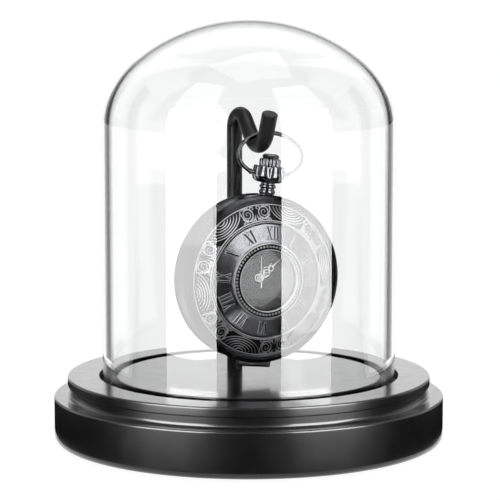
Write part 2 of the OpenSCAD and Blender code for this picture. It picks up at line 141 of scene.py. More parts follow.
def with_support(profile, reach=0.12):
    """The closed profile with extra points near the ends of long straights, so that they shade flat."""
    out = []
    count = len(profile)
    for i, p in enumerate(profile):
        q = profile[(i + 1) % count]
        out.append(p)
        length = math.dist(p, q)
        if length > 4 * reach:
            t = reach / length
            for s in (t, 1 - t):
                out.append((p[0] + (q[0] - p[0]) * s, p[1] + (q[1] - p[1]) * s))
    return out


def lathe_mesh(profile, segments, shape=None):
    """A closed profile of (radius, height) turned about Z. shape(angle, r, z) may move a point."""
    profile = with_support(profile)
    points, rings = [], []
    for r, z in profile:
        if r < 1e-6:
            rings.append([len(points)] * segments)
            points.append((0, 0, z))
            continue
        ring = []
        for s in range(segments):
            a = 2 * math.pi * s / segments
            rr, zz = shape(a, r, z) if shape else (r, z)
            ring.append(len(points))
            points.append((rr * math.cos(a), rr * math.sin(a), zz))
        rings.append(ring)
    faces = []
    for low, high in zip(rings, rings[1:] + rings[:1]):
        for s in range(segments):
            t = (s + 1) % segments
            face = []
            for corner in (low[s], low[t], high[t], high[s]):
                if corner not in face:
                    face.append(corner)
            if len(face) > 2:
                faces.append(face)
    return points, faces


def lathe(name, profile, segments=160, matrix=ROW, shape=None, sharp=32):
    points, faces = lathe_mesh(profile, segments, shape)
    return make_mesh(name, points, faces, matrix, sharp)


def sweep_faces(rows, sides, wrap=True, closed=False, flip=False):
    """Quads between neighbouring rows of points, with a cap on each end of an open sweep.

    wrap joins a row's last point to its first, closed joins the last row to the first, and flip turns
    all faces over.
    """
    faces = []
    for i in range(rows if closed else rows - 1):
        a, b = i * sides, (i + 1) % rows * sides
        for k in range(sides if wrap else sides - 1):
            n = (k + 1) % sides
            faces.append([a + k, a + n, b + n, b + k])
    if not closed:
        faces.append(list(range(sides))[::-1])
        faces.append([(rows - 1) * sides + k for k in range(sides)])
    return [face[::-1] for face in faces] if flip else faces


def tube_mesh(centres, radii, sides=24):
    """Points and faces of a round tube through the centres, with flat ends."""
    centres = [Vector(c) for c in centres]
    count = len(centres)
    points = []
    side_axis = None
    for i, c in enumerate(centres):
        ahead = centres[min(i + 1, count - 1)] - centres[max(i - 1, 0)]
        ahead.normalize()
        if side_axis is None:
            side_axis = ahead.orthogonal().normalized()
        side_axis = (side_axis - ahead * side_axis.dot(ahead)).normalized()
        other = ahead.cross(side_axis)
        for s in range(sides):
            a = 2 * math.pi * s / sides
            points.append(c + float(radii[i]) * (math.cos(a) * side_axis + math.sin(a) * other))
    return points, sweep_faces(count, sides)


class Collected:
    """Several small shapes gathered into one mesh."""

    def __init__(self):
        self.points = []
        self.faces = []

    def add(self, points, faces):
        start = len(self.points)
        self.points.extend(points)
        self.faces.extend([[i + start for i in f] for f in faces])

    def sweep(self, rows, **how):
        """Adds the skin over rows of points, which all have the same length."""
        self.add([p for row in rows for p in row], sweep_faces(len(rows), len(rows[0]), **how))

    def piece(self, name, matrix=ROW, sharp=32):
        return make_mesh(name, self.points, self.faces, matrix, sharp)


def sideways(line, width, closed, taper):
    """For each point of a 2-D line: the point, the step to the strip's edge and the taper's share."""
    line = [np.array(p, float) for p in line]
    count = len(line)
    for i, p in enumerate(line):
        before = line[i - 1] if closed or i else p
        after = line[(i + 1) % count] if closed or i < count - 1 else p
        ahead = (after - before) / (np.linalg.norm(after - before) or 1)
        share = taper(i / (count - 1)) if taper else 1
        yield p, np.array([-ahead[1], ahead[0]]) * width / 2 * share, share


def colour_band(piece, material, r_low, r_high, above):
    """Gives a second material to the faces between two radii of the watch that lie above above(r)."""
    piece.data.materials.append(material)
    to_local = WATCH.inverted()
    for face in piece.data.polygons:
        local = to_local @ face.center / MM
        r = math.hypot(local.x, local.y)
        if r_low < r < r_high and local.z > above(r):
            face.material_index = 1


# ---- material tools ----

class Nodes:
    """A node tree with short ways to build and wire its nodes."""

    def __init__(self, tree):
        self.tree = tree

    def node(self, kind, **settings):
        made = self.tree.nodes.new(kind)
        for key, value in settings.items():
            setattr(made, key, value)
        return made

    def link(self, source, target):
        self.tree.links.new(source, target)

    def range(self, source, low, high, start=0.3, end=0.7):
        """Maps a value between start and end onto low to high."""
        spread = self.node("ShaderNodeMapRange")
        for socket, value in (("From Min", start), ("From Max", end), ("To Min", low), ("To Max", high)):
            spread.inputs[socket].default_value = value
        self.link(source, spread.inputs["Value"])
        return spread.outputs["Result"]

    def colours(self, source, *stops):
        """A colour ramp over the value: stops are (position, (r, g, b))."""
        ramp = self.node("ShaderNodeValToRGB")
        elements = ramp.color_ramp.elements
        while len(elements) < len(stops):
            elements.new(0.5)
        for element, (position, colour) in zip(elements, stops):
            element.position = position
            element.color = (*colour, 1)
        self.link(source, ramp.inputs["Fac"])
        return ramp.outputs["Color"]


class Shader(Nodes):
    """A Principled material with short ways to wire its procedural inputs."""

    def __init__(self, name, **constants):
        self.material = bpy.data.materials.new(name)
        self.material.use_nodes = True
        super().__init__(self.material.node_tree)
        self.bsdf = self.tree.nodes["Principled BSDF"]
        for socket, value in constants.items():
            self.bsdf.inputs[socket.replace("_", " ")].default_value = value
        self.place = self.tree.nodes.new("ShaderNodeTexCoord").outputs["Object"]

    def noise(self, scale, detail=3, stretch=None):
        """Fractal noise. The scale is in cells per metre, and stretch multiplies it along each axis."""
        noise = self.node("ShaderNodeTexNoise")
        noise.inputs["Scale"].default_value = scale
        noise.inputs["Detail"].default_value = detail
        place = self.place
        if stretch:
            mapping = self.node("ShaderNodeMapping")
            mapping.inputs["Scale"].default_value = stretch
            self.link(place, mapping.inputs["Vector"])
            place = mapping.outputs["Vector"]
        self.link(place, noise.inputs["Vector"])
        return noise.outputs["Fac"]

    def tone(self, source, dark, light):
        """Base colour that varies evenly between two tones."""
        self.set("Base Color", self.colours(source, (0.3, dark), (0.7, light)))

    def bump(self, source, strength, depth_mm, below=None):
        bump = self.node("ShaderNodeBump")
        bump.inputs["Strength"].default_value = strength
        bump.inputs["Distance"].default_value = depth_mm * MM
        self.link(source, bump.inputs["Height"])
        if below:
            self.link(below, bump.inputs["Normal"])
        return bump.outputs["Normal"]

    def set(self, socket, source):
        self.link(source, self.bsdf.inputs[socket])
        return self


def lacquer_material():
    """Satin black lacquer over turned wood: faint turning lines and orange peel under a smoother top coat."""
    s = Shader("black_lacquer", IOR=1.45, Coat_Weight=0.85, Coat_Roughness=0.11, Coat_IOR=1.36)
    s.tone(s.noise(60, 4), (0.0012, 0.0012, 0.0013), (0.0022, 0.0022, 0.0024))
    s.set("Roughness", s.range(s.noise(220, 4), 0.3, 0.35))
    lines = s.noise(900, 2, stretch=(0.15, 0.15, 3.0))
    peel = s.noise(700, 2)
    s.set("Normal", s.bump(peel, 0.02, 0.02, below=s.bump(lines, 0.04, 0.02)))
    return s.material


def coated_material(name, ior, tones, tone_noise, rough, rough_noise, strength, bump_noise):
    """Paint or plastic. Each noise is (scale, detail)."""
    s = Shader(name, IOR=ior)
    s.tone(s.noise(*tone_noise), *tones)
    s.set("Roughness", s.range(s.noise(*rough_noise), *rough))
    s.set("Normal", s.bump(s.noise(*bump_noise), strength, 0.03))
    return s.material


def felt_material(name, dark, light):
    """Short matted fibres."""
    s = Shader(name, IOR=1.3, Sheen_Weight=0.25, Sheen_Roughness=0.5)
    fibres = s.noise(3500, 6)
    s.set("Base Color", s.colours(fibres, (0.3, dark), (0.75, light)))
    s.set("Roughness", s.range(fibres, 0.85, 1.0))
    s.set("Normal", s.bump(fibres, 0.9, 0.25))
    return s.material


def glass_material(name, tint_edge, ior, wave_depth):
    """Clear glass, a little darker where it is seen at a grazing angle, and faintly wavy."""
    s = Shader(name, Transmission_Weight=1.0, Roughness=0.0, IOR=ior)
    facing = s.node("ShaderNodeLayerWeight")
    facing.inputs["Blend"].default_value = 0.5
    s.set("Base Color", s.colours(facing.outputs["Facing"], (0.0, (0.99, 0.993, 0.993)),
                                  (0.72, (0.975, 0.98, 0.98)), (1.0, tint_edge)))
    s.set("Normal", s.bump(s.noise(22, 1), 0.25, wave_depth))
    return s.material


def metal_material(name, dark, light, rough, grain=1400, bump=0.05, stretch=None):
    """Plated metal with slightly uneven tone, roughness and fine handling marks."""
    s = Shader(name, Metallic=1.0)
    s.tone(s.noise(450, 4), dark, light)
    s.set("Roughness", s.range(s.noise(grain, 4, stretch), rough[0], rough[1]))
    s.set("Normal", s.bump(s.noise(grain * 2, 3, stretch), bump, 0.02))
    return s.material


def sunray_material():
    """Dark grey dial, brushed in rays from its centre."""
    s = Shader("dial_sunray", Metallic=0.75, IOR=1.5)
    centre = s.node("ShaderNodeVectorMath", operation="SUBTRACT")
    s.link(s.place, centre.inputs[0])
    centre.inputs[1].default_value = WATCH.translation
    split = s.node("ShaderNodeSeparateXYZ")
    s.link(centre.outputs["Vector"], split.inputs["Vector"])
    turn = s.node("ShaderNodeMath", operation="ARCTAN2")
    s.link(split.outputs["X"], turn.inputs[0])
    s.link(split.outputs["Z"], turn.inputs[1])
    rays = s.node("ShaderNodeTexNoise", noise_dimensions="1D")
    rays.inputs["Scale"].default_value = 90
    rays.inputs["Detail"].default_value = 4
    s.link(turn.outputs["Value"], rays.inputs["W"])
    s.tone(rays.outputs["Fac"], (0.028, 0.028, 0.03), (0.05, 0.05, 0.054))
    s.set("Roughness", s.range(rays.outputs["Fac"], 0.3, 0.42))
    s.set("Normal", s.bump(rays.outputs["Fac"], 0.12, 0.02))
    return s.material


LACQUER = lacquer_material()
HOOK_PAINT = coated_material("black_painted_steel", 1.45, ((0.007, 0.007, 0.0075), (0.012, 0.012, 0.013)),
                             (300, 4), (0.27, 0.38), (900, 3), 0.18, (2600, 3))
GROOVE_FELT = felt_material("groove_felt", (0.004, 0.004, 0.004), (0.012, 0.012, 0.012))
PAD_FELT = felt_material("pad_felt", (0.006, 0.006, 0.006), (0.02, 0.02, 0.021))
JAR_GLASS = glass_material("jar_glass", (0.75, 0.755, 0.76), 1.45, 0.01)
CRYSTAL = glass_material("watch_crystal", (0.85, 0.855, 0.86), 1.32, 0.0005)
GUNMETAL = metal_material("gunmetal", (0.03, 0.03, 0.033), (0.055, 0.055, 0.06), (0.16, 0.26))
GUNMETAL_BRIGHT = metal_material("gunmetal_bright", (0.24, 0.24, 0.255), (0.34, 0.34, 0.36), (0.1, 0.18))
COVER_GROUND = metal_material("cover_ground", (0.012, 0.012, 0.014), (0.03, 0.03, 0.034), (0.3, 0.45),
                              grain=2600, bump=0.2)
SILVER_LINE = metal_material("silver_line", (0.56, 0.56, 0.58), (0.7, 0.7, 0.72), (0.38, 0.5))
HAND_SILVER = metal_material("hand_silver", (0.85, 0.85, 0.86), (0.93, 0.93, 0.94), (0.32, 0.42))
RING_METAL = metal_material("numeral_ring_metal", (0.21, 0.21, 0.223), (0.26, 0.26, 0.276), (0.16, 0.22),
                            bump=0.01)
WIRE_METAL = metal_material("bow_wire", (0.1, 0.1, 0.106), (0.16, 0.16, 0.17), (0.14, 0.22))
ZINC = metal_material("zinc_steel", (0.42, 0.42, 0.44), (0.55, 0.55, 0.57), (0.28, 0.42))
BRASS = metal_material("movement_brass", (0.45, 0.36, 0.2), (0.6, 0.5, 0.32), (0.22, 0.4),
                       grain=900, bump=0.12, stretch=(1, 8, 1))
DIAL = sunray_material()
NUMERAL_BLACK = metal_material("numeral_black", (0.004, 0.004, 0.005), (0.009, 0.009, 0.01), (0.3, 0.42))
CARD_BLACK = Shader("card_black", Base_Color=(0.002, 0.002, 0.002, 1), Roughness=1.0,
                    Specular_IOR_Level=0.0).material
SPACER = coated_material("spacer_plastic", 1.46, ((0.62, 0.61, 0.57), (0.7, 0.69, 0.65)),
                         (500, 3), (0.45, 0.6), (1500, 3), 0.1, (3000, 2))


# ---- base and glass ----

def build_base():
    fillet = 0.5
    low_round = 2.0
    recess = PAD_R + 0.1
    profile = [(0, PAD_T), (recess, PAD_T), (recess, PLINTH_LOW)]
    profile += arc(PLINTH_R - low_round, PLINTH_LOW + low_round, low_round, -90, 0, 12)
    profile += arc(PLINTH_R - fillet, PLINTH_TOP - fillet, fillet, 0, 90, 10)
    profile += [(0, PLINTH_TOP)]
    plinth = lathe("plinth_turned", profile, 256)
    finish_piece(plinth, "stand", LACQUER, ["base_plinth"])

    waist = SEAT_R - SEAT_WAIST_IN
    ease = 0.3
    lip = 0.4
    middle = (PLINTH_TOP + SEAT_TOP) / 2
    foot = waist + SEAT_COVE
    profile = [(0, PLINTH_TOP), (foot, PLINTH_TOP)]
    profile += arc(foot, PLINTH_TOP + SEAT_COVE, SEAT_COVE, -90, -180, 10)
    profile += [(waist, middle)]
    profile += arc(SEAT_R - lip, middle + lip, lip, -60, 0, 6)
    profile += arc(SEAT_R - fillet, SEAT_TOP - fillet, fillet, 0, 90, 10)
    profile += arc(GROOVE_OUT + ease, SEAT_TOP - ease, ease, 90, 180, 8)
    profile += [(GROOVE_OUT, GROOVE_FLOOR), (GROOVE_IN, GROOVE_FLOOR)]
    profile += arc(GROOVE_IN - ease, SEAT_TOP - ease, ease, 0, 90, 8)
    profile += [(0, SEAT_TOP)]
    seat = lathe("seat_turned", profile, 256)
    finish_piece(seat, "stand", LACQUER, ["base_seat"])


def fuzzy_ring(name, r_in, r_out, z_low, z_high, lift, seed):
    """A felt ring or disc with an uneven surface of short fibres."""
    rng = random.Random(seed)
    rows = max(4, int((r_out - r_in) / 0.55))
    segments = 240
    profile = [(r_in, z_low), (r_out, z_low), (r_out, z_high - 0.12)]
    profile += [(r_out - (r_out - r_in) * i / rows, z_high) for i in range(1, rows)]
    profile += [(r_in, z_high - 0.12)]
    points, faces = lathe_mesh(profile, segments)
    points = [(x, y, z - rng.random() * lift if z > z_high - 0.2 else z) for x, y, z in points]
    return make_mesh(name, points, faces)


def build_felts():
    top = box_mm("groove_liner")[1][2]
    r_in, r_out = GROOVE_IN + LINER_PLAY, GROOVE_OUT - LINER_PLAY
    liner = fuzzy_ring("liner_felt", r_in, r_out, GROOVE_FLOOR, top, lift=0.1, seed=3)
    finish_piece(liner, "stand", GROOVE_FELT, ["groove_liner"])
    edge = 0.3
    profile = [(0, 0)] + arc(PAD_R - edge, edge, edge, -90, 0, 5) + [(PAD_R, PAD_T), (0, PAD_T)]
    pad = lathe("pad_felt", profile, 200)
    finish_piece(pad, "stand", PAD_FELT, ["felt_pad"])


def jar_line(inset, spring, rise, shoulder, steps):
    """Outline of the jar from the wall's top to the crown, two tangent arcs, drawn in by inset."""
    offset = GLASS_R - shoulder
    crown = (offset ** 2 + rise ** 2 - shoulder ** 2) / (2 * (rise - shoulder))
    turn = math.degrees(math.atan2(crown - rise, offset))
    line = arc(offset, spring, shoulder - inset, 0, turn, steps)
    line += arc(0, spring + rise - crown, crown - inset, turn, 90, steps)[1:]
    return line


def build_glass():
    wall = 2.1
    rim = 0.9
    rise = 31.4
    shoulder = 26
    spring = GLASS_TOP - rise
    steps = 72
    outer = jar_line(0, spring, rise, shoulder, steps)
    inner = jar_line(wall, spring, rise, shoulder, steps)
    inner[-1] = (0, inner[-1][1])
    outer[-1] = (0, outer[-1][1])
    profile = arc(GLASS_R - rim, GLASS_LOW + rim, rim, -90, 0, 8) + outer + inner[::-1]
    profile += arc(GLASS_R - wall + rim, GLASS_LOW + rim, rim, -180, -90, 8)
    jar = lathe("jar_glass", profile, 288, sharp=60)
    finish_piece(jar, "dome", JAR_GLASS, ["glass_dome"])


# ---- hook stand ----

def hook_path():
    """Centreline of the rod in the YZ plane: upright, crook, straight, throat and tip."""
    rod_y = box_mm("hook_stand")[1][1] - ROD_R
    crook_r, throat_r = 4.2, 5.6
    pivot = np.array(JOINTS["watch_sway"]["pos_m"]) / MM
    throat = np.array([pivot[1], pivot[2] + throat_r])
    crook = np.array([rod_y - crook_r, throat[1] - 1.7])
    lean = 24
    tip_len = 6.1
    span = throat - crook
    turn = math.degrees(math.atan2(span[1], span[0])) - math.degrees(
        math.acos((crook_r + throat_r) / np.linalg.norm(span)))
    path = [(rod_y, z) for z in np.linspace(SEAT_TOP, crook[1], 12)[:-1]]
    path += arc(crook[0], crook[1], crook_r, 0, turn, 24)
    bend = arc(throat[0], throat[1], throat_r, turn - 180, lean - 180, 24)
    start, end = np.array(path[-1]), np.array(bend[0])
    path += [tuple(start + (end - start) * t) for t in (0.25, 0.5, 0.75)]
    path += bend
    ahead = np.array([-math.sin(math.radians(lean)), math.cos(math.radians(lean))])
    path += [tuple(np.array(bend[-1]) + ahead * tip_len * t) for t in (0.33, 0.66, 1.0)]
    chamfer = 0.25
    return path, tuple(np.array(path[-1]) + ahead * chamfer), chamfer, rod_y


def build_hook():
    path, end, chamfer, rod_y = hook_path()
    centres = [(0, y, z) for y, z in path] + [(0, *end)]
    radii = [ROD_R] * len(path) + [ROD_R - chamfer]
    parts = Collected()
    parts.add(*tube_mesh(centres, radii, 48))
    parts.sweep(threaded_rod((0, rod_y), box_mm("hook_stand")[0][2], SEAT_TOP + 0.05, 2.0, 0.7))
    finish_piece(parts.piece("hook_rod"), "stand", HOOK_PAINT, ["hook_stand"])


def threaded_rod(centre, z_low, z_high, r, pitch):
    """Rows of points on a coarse metric thread: a helical ridge on a rod."""
    sides = 32
    count = int((z_high - z_low) / pitch * 6)
    depth = 0.3
    rows = []
    for i in range(count + 1):
        z = z_low + (z_high - z_low) * i / count
        row = []
        for s in range(sides):
            a = 2 * math.pi * s / sides
            phase = (z / pitch - s / sides) % 1
            rr = r - depth * abs(2 * phase - 1)
            row.append((centre[0] + rr * math.cos(a), centre[1] + rr * math.sin(a), z))
        rows.append(row)
    return rows


# ---- bow, pendant and crown ----

BOW_Y = 34.4
BOW_FLAT_R, BOW_FLAT_OFF = 13.4, 7.2
BOW_END_R, BOW_END_OFF = 4.4, 5.4
BOW_WIRE_R = 0.6
EAR_X = 5.7


def build_bow():
    join = math.degrees(math.atan2(BOW_FLAT_OFF, BOW_END_OFF))
    ear = math.degrees(math.acos(EAR_X / BOW_FLAT_R))
    side = arc(0, BOW_Y + BOW_FLAT_OFF, BOW_FLAT_R, -ear, -join, 6)
    side += arc(BOW_END_OFF, BOW_Y, BOW_END_R, -join, join, 28)[1:]
    top = arc(0, BOW_Y - BOW_FLAT_OFF, BOW_FLAT_R, join, 180 - join, 36)[1:]
    line = side + top + [(-x, y) for x, y in side[::-1]][1:]
    ear_y = line[0][1]
    parts = Collected()
    parts.add(*tube_mesh([(x, y, 0) for x, y in line], [BOW_WIRE_R] * len(line), 24))
    for sign in (-1, 1):
        xs = (3.4, 3.5, 5.36, 5.42, 5.5, 5.9, 5.98, 6.04)
        rs = (0.45, 0.55, 0.55, 0.7, 0.8, 0.8, 0.7, 0.5)
        parts.add(*tube_mesh([(sign * x, ear_y, 0) for x in xs], rs, 24))
    finish_piece(parts.piece("bow_ring", WATCH), "bow", WIRE_METAL, ["bow"])
    return ear_y


def towards_twelve():
    """Turns a piece lathed about Z so that its axis points to 12 o'clock in the watch's frame."""
    return WATCH @ Matrix.Rotation(math.radians(-90), 4, "X")


def build_pendant():
    """Beaded neck under a lobed cup with a scalloped rim."""
    lobes = 8
    foot, rim = 27.2, 31.5

    def shape(a, r, z):
        if z < foot or r < 3.5:
            return r, z
        rise = min(1, (z - foot) / 2.2)
        valley = 1 - abs(math.cos(lobes * a / 2)) ** 0.55
        clear = 1 - abs(math.cos(a)) ** 12
        drop = 0.75 * valley * max(0, (z - 29.6) / (rim - 29.6))
        return r - 0.62 * rise * valley * clear * min(1, (r - 3.4) / 0.8), z - drop

    profile = [(1.58, 20.6), (1.58, 23.0), (2.36, 23.0), (2.4, 23.15), (2.32, 23.4), (1.95, 23.5)]
    profile += arc(1.6, 24.2, 0.72, -60, 60, 10) + arc(1.6, 25.7, 0.72, -60, 60, 10)
    profile += [(1.95, 26.5), (2.3, 26.72)]
    profile += arc(2.7, 28.9, 2.15, -88, 0, 16)
    profile += [(4.85, 29.4), (4.74, 30.2), (4.6, 30.9)]
    profile += arc(4.25, 31.15, 0.35, 10, 90, 6)
    profile += [(3.9, 31.5), (3.6, 31.4), (3.4, 31.2), (3.35, 30.1), (0.5, 30.05), (0.5, 20.6)]
    cup = lathe("pendant_cup", profile, 240, towards_twelve(), shape)
    finish_piece(cup, "watch", GUNMETAL_BRIGHT, ["pendant"])


def build_crown():
    """Fluted crown with a faceted cap."""
    flutes = 16
    facets = 8

    def shape(a, r, z):
        if 31.1 < z < 33.6 and r > 2.6:
            lobe = abs(math.cos(flutes * a / 2)) ** 0.6
            return r - 0.5 * (1 - lobe), z
        if z >= 33.6 and r > 1.2:
            step = 2 * math.pi / facets
            return r * math.cos(math.pi / facets) / math.cos((a % step) - math.pi / facets), z
        return r, z

    profile = [(0.45, 30.4), (2.1, 30.4), (2.3, 30.75), (2.75, 31.05), (2.95, 31.3), (3.0, 31.5), (3.0, 33.0)]
    profile += [(2.95, 33.25), (2.7, 33.45), (2.35, 33.52), (2.3, 33.68), (2.5, 33.78), (2.52, 34.15)]
    profile += [(2.35, 34.45), (1.75, 34.8), (0.9, 34.88), (0, 34.9), (0, 32.05), (0.45, 32.0)]
    crown = lathe("crown_fluted", profile, 288, towards_twelve(), shape, sharp=38)
    finish_piece(crown, "crown", GUNMETAL_BRIGHT, ["crown"])


# ---- watch case ----

HINGE_Y, HINGE_Z = -23.9, 2.45
KNUCKLE_R = 0.75


def knuckle(parts, x_from, x_to, web_low, web_high, rim_y):
    """One barrel of the cover's hinge, with the web that joins it to the rim."""
    steps = [x_from, x_from + 0.08, x_to - 0.08, x_to]
    outer = [KNUCKLE_R - 0.08, KNUCKLE_R, KNUCKLE_R, KNUCKLE_R - 0.08]
    parts.add(*tube_mesh([(x, HINGE_Y, HINGE_Z) for x in steps], outer, 28))
    corners = [(x, y, z) for x in (x_from, x_to) for y in (HINGE_Y, rim_y) for z in (web_low, web_high)]
    parts.add(corners, [[0, 1, 3, 2], [4, 6, 7, 5], [0, 4, 5, 1], [2, 3, 7, 6], [0, 2, 6, 4], [1, 5, 7, 3]])


def build_case():
    """Band with a reeded edge, and the hinge's middle barrel."""
    back, front, bore, seat = -4.2, 2.4, 19.5, 20.4
    case_r = 23.0
    reeds = 180

    def reeding(a, r, z):
        if r > 22.9 and -3.2 < z < 1.4:
            return r - 0.1 * (0.5 - 0.5 * math.cos(reeds * a)), z
        return r, z

    profile = [(bore, back), (22.7, back), (22.95, back + 0.2), (23.0, back + 0.45), (23.0, back + 0.8)]
    profile += [(22.8, back + 0.88), (22.8, back + 1.0), (case_r, back + 1.1), (case_r, front - 1.1)]
    profile += [(22.8, front - 1.0), (22.8, front - 0.88), (23.0, front - 0.8), (23.0, front - 0.4)]
    profile += [(22.95, front - 0.2), (22.7, front), (seat, front), (seat, 2.1), (bore, 2.1)]
    points, faces = lathe_mesh(profile, 720, reeding)
    parts = Collected()
    parts.add(points, faces)
    knuckle(parts, -2.3, 2.3, HINGE_Z - KNUCKLE_R + 0.05, HINGE_Z - 0.15, -22.7)
    finish_piece(parts.piece("case_band", WATCH), "watch", GUNMETAL, ["case_middle"])


def back_height(r):
    """Height of the back's dome: a parabola from its lowest point."""
    lowest, bulge = -6.6, 300
    return lowest + r * r / bulge


def build_back():
    """Domed back with rim bands and an engraved medallion."""
    rim_r, wall = 23.4, 0.8
    dome = [(r, back_height(r)) for r in np.linspace(0, 20.2, 16)]
    profile = dome[:]
    profile += [(20.5, -5.1), (20.9, -5.1), (21.2, -5.45), (22.6, -5.2), (23.2, -4.95), (rim_r, -4.7)]
    profile += [(rim_r, -4.4), (23.2, -4.22), (22.8, -4.2), (21.6, -4.2), (21.6, -4.6)]
    profile += [(r, z + wall) for r, z in dome[::-1][1:]]
    back = lathe("case_back_dome", profile, 220, WATCH)
    finish_piece(back, "watch", GUNMETAL, ["case_back"])

    def on_back(x, y, lift):
        return (x, y, back_height(math.hypot(x, y)) - lift)

    relief = Collected()
    for r in (19.6, 14.4, 9.2):
        ribbon(relief, circle_line(r), 0.2, 0.12, on_back, closed=True)
    petals = 24
    around = np.linspace(0, 2 * math.pi, 20)
    for i in range(petals):
        turn = 2 * math.pi * i / petals
        for r_mid, size in ((17.0, 2.1), (11.8, 1.9)):
            loop = [(r_mid + size * math.cos(t), size * 0.75 * math.sin(t)) for t in around]
            ribbon(relief, [spin(p, turn) for p in loop], 0.13, 0.1, on_back, closed=True)
    for i in range(12):
        turn = 2 * math.pi * i / 12
        petal = [(8.6 * math.sin(t), 1.5 * math.sin(2 * t)) for t in np.linspace(0, math.pi, 26)]
        ribbon(relief, [spin(p, turn) for p in petal], 0.16, 0.1, on_back)
    piece = relief.piece("case_back_engraving", WATCH, sharp=50)
    finish_piece(piece, "watch", SILVER_LINE)


# ---- relief lines on the watch ----

def circle_line(r, steps=120, cx=0, cy=0):
    turns = np.linspace(0, 2 * math.pi, steps + 1)[:-1]
    return [(cx + r * math.cos(t), cy + r * math.sin(t)) for t in turns]


def spin(p, turn):
    c, s = math.cos(turn), math.sin(turn)
    return (p[0] * c - p[1] * s, p[0] * s + p[1] * c)


def ribbon(parts, line, width, height, surface, closed=False, taper=None):
    """A raised half-round line along 2-D points. surface(x, y, lift) places it on its ground."""
    rows = []
    for p, side, share in sideways(line, width, closed, taper):
        lift = height * min(1, 0.4 + 0.6 * share)
        section = ((-1.15, -0.05), (-0.7, lift * 0.8), (0, lift), (0.7, lift * 0.8), (1.15, -0.05))
        rows.append([surface(*(p + side * k), h) for k, h in section])
    parts.sweep(rows, wrap=False, closed=closed)


def bezier(p0, p1, p2, p3, steps=14):
    t = np.linspace(0, 1, steps + 1)[:, None]
    p0, p1, p2, p3 = (np.array(p, float) for p in (p0, p1, p2, p3))
    return list((1 - t) ** 3 * p0 + 3 * (1 - t) ** 2 * t * p1 + 3 * (1 - t) * t ** 2 * p2 + t ** 3 * p3)


def spiral(cx, cy, r_start, r_end, start, turns, steps=30):
    """Points of a spiral about (cx, cy): start in degrees, negative turns go clockwise."""
    line = []
    for i in range(steps + 1):
        t = i / steps
        a = math.radians(start + 360 * turns * t)
        r = r_start * (1 - t) ** 0.8 + r_end
        line.append((cx + r * math.cos(a), cy + r * math.sin(a)))
    return line


def leaf_taper(t):
    """Narrow at both ends, full at a third."""
    return 0.25 + 0.75 * math.sin(math.pi * t ** 0.7)


def tail_taper(t):
    """Full at the start, fine at the end."""
    return 1.0 - 0.72 * t


COVER_MID_R = 18.75
SLOPE_IN, SLOPE_OUT = 16.3, 21.1
SLOPE_TOP, SLOPE_FOOT = 5.35, 3.75


def cover_height(r):
    return SLOPE_FOOT + (SLOPE_OUT - r) * (SLOPE_TOP - SLOPE_FOOT) / (SLOPE_OUT - SLOPE_IN)


def on_cover(x, y, lift):
    """A point on the cover's engraved slope."""
    return (x, y, cover_height(math.hypot(x, y)) + lift)


def around_cover(u, v, turn):
    """Bends a strip onto the slope: u clockwise along it, v outward, turn its start round the watch."""
    a = -turn + u / COVER_MID_R
    r = COVER_MID_R + v
    return (r * math.sin(a), r * math.cos(a))


def scroll_strokes(width, rng):
    """One repeat of the scroll band, as (points, width, taper), between v -2.1 and 2.1."""
    strokes = []
    middle = width / 2
    outer = 2.1
    half_turn = np.linspace(0.12, math.pi - 0.12, 34)
    for k in range(6):
        r = 0.7 + 0.62 * k
        bowl = [(middle + 1.45 * r * math.cos(t), outer - r * math.sin(t)) for t in half_turn]
        strokes.append((bowl, 0.25, leaf_taper))
    for side in (-1, 1):
        def m(points, side=side):
            return [(middle + side * p[0], p[1]) for p in points]

        strokes.append((m(spiral(7.35, 0.25, 1.75, 0.12, 200, 2.1, 44)), 0.27, tail_taper))
        strokes.append((m(bezier((5.75, 2.05), (5.2, 0.6), (6.0, -1.7), (8.3, -1.75), 20)), 0.26, leaf_taper))
        hook = bezier((8.3, -1.75), (9.2, -1.7), (9.6, -1.0), (9.55, -0.3), 10)
        strokes.append((m(hook), 0.24, leaf_taper))
        strokes.append((m(spiral(9.0, 1.45, 0.6, 0.1, 250, -1.1, 18)), 0.24, tail_taper))
        for k in range(4):
            start = (5.15 + 0.5 * k, -2.05)
            end = (5.65 + 0.5 * k, -1.25 + 0.12 * k + rng.uniform(-0.08, 0.08))
            mid = ((start[0] + end[0]) / 2 - 0.14, (start[1] + end[1]) / 2)
            strokes.append((m([start, mid, end]), 0.24, leaf_taper))
        for k in range(4):
            start = (6.3 + 0.52 * k, 2.05)
            end = (6.05 + 0.5 * k, 1.75 + rng.uniform(-0.05, 0.05))
            strokes.append((m([start, end]), 0.24, None))
        for k in range(3):
            u = 8.05 + 0.6 * k
            leaf = bezier((u, -2.05), (u + 0.3, -1.6), (u + 0.1, -1.2), (u - 0.2, -0.95), 6)
            strokes.append((m([p for p in leaf if p[0] < middle]), 0.22, leaf_taper))
    return [s for s in strokes if len(s[0]) > 1]


def build_scrolls():
    rng = random.Random(11)
    repeats = 6
    first = math.radians(15)
    width = 2 * math.pi * COVER_MID_R / repeats
    relief = Collected()
    for i in range(repeats):
        turn = first + 2 * math.pi * (i - 0.5) / repeats
        for points, stroke, taper in scroll_strokes(width, rng):
            line = [around_cover(u, v, -turn) for u, v in points]
            ribbon(relief, line, stroke, 0.14, on_cover, taper=taper)
    for r in (21.0, 16.62):
        ribbon(relief, circle_line(r, 200), 0.2, 0.12, on_cover, closed=True)
    for r, z in ((16.2, 5.62), (15.9, 5.64)):
        ribbon(relief, circle_line(r, 200), 0.16, 0.1, lambda x, y, lift, z=z: (x, y, z + lift), closed=True)
    piece = relief.piece("cover_scrolls", WATCH, sharp=50)
    finish_piece(piece, "cover", SILVER_LINE)


